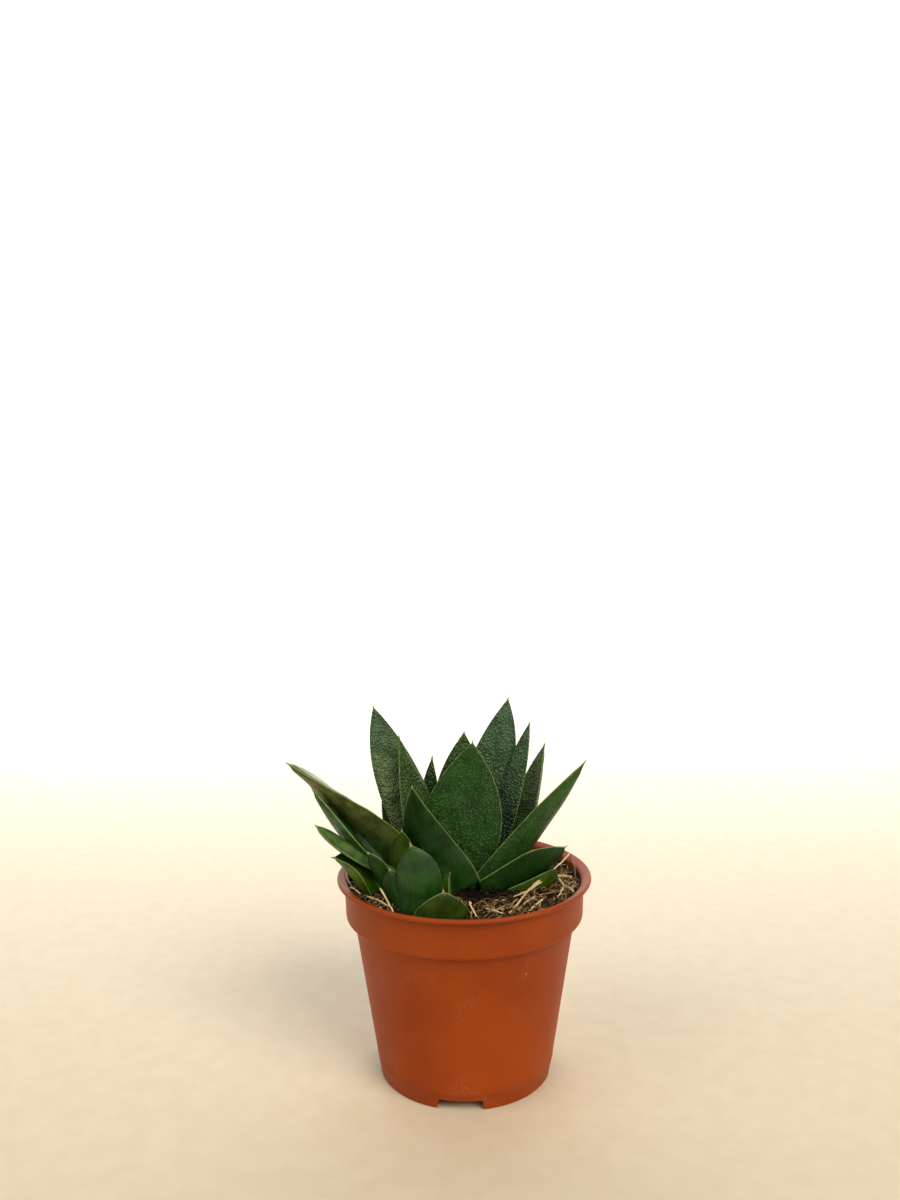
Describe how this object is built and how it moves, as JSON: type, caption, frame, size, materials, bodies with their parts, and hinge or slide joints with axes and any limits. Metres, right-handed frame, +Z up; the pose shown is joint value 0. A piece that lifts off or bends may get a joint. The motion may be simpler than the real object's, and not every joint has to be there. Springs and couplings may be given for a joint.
{
  "type": "potted gasteria",
  "caption": "Clump of thick, keeled, sharply pointed gasteria leaves in rosettes, standing in potting soil in a tapered round plastic nursery pot with a broad rim band.",
  "frame": {"origin": "on the surface that the pot stands on, under the middle of the whole object's bounding box", "axes": "+Z up, the side that the picture shows faces -Y"},
  "size_m": [0.1233, 0.105, 0.1518],
  "materials": {
    "pot_plastic": "satin",
    "potting_soil": "matte",
    "crown": "matte",
    "leaf": "satin"
  },
  "bodies": {
    "root": {"crown_back_left": "crown", "crown_back_right": "crown", "crown_front": "crown", "crown_left": "crown", "crown_main": "crown", "leaf_back_left_dotted": "leaf", "leaf_back_left_hidden": "leaf", "leaf_back_left_small": "leaf", "leaf_back_left_tall": "leaf", "leaf_back_middle": "leaf", "leaf_back_right": "leaf", "leaf_back_right_outer": "leaf", "leaf_back_right_tall": "leaf", "leaf_behind_left": "leaf", "leaf_behind_low": "leaf", "leaf_behind_middle": "leaf", "leaf_behind_right": "leaf", "leaf_front_low": "leaf", "leaf_front_round": "leaf", "leaf_front_side": "leaf", "leaf_front_small": "leaf", "leaf_left_behind": "leaf", "leaf_left_inner": "leaf", "leaf_left_long": "leaf", "leaf_left_low": "leaf", "leaf_left_second": "leaf", "leaf_left_short": "leaf", "leaf_left_third": "leaf", "leaf_main_left": "leaf", "leaf_main_tall": "leaf", "leaf_right_long": "leaf", "leaf_right_low": "leaf", "leaf_right_lying": "leaf", "pot": "pot_plastic", "soil": "potting_soil"}
  },
  "joints": []
}
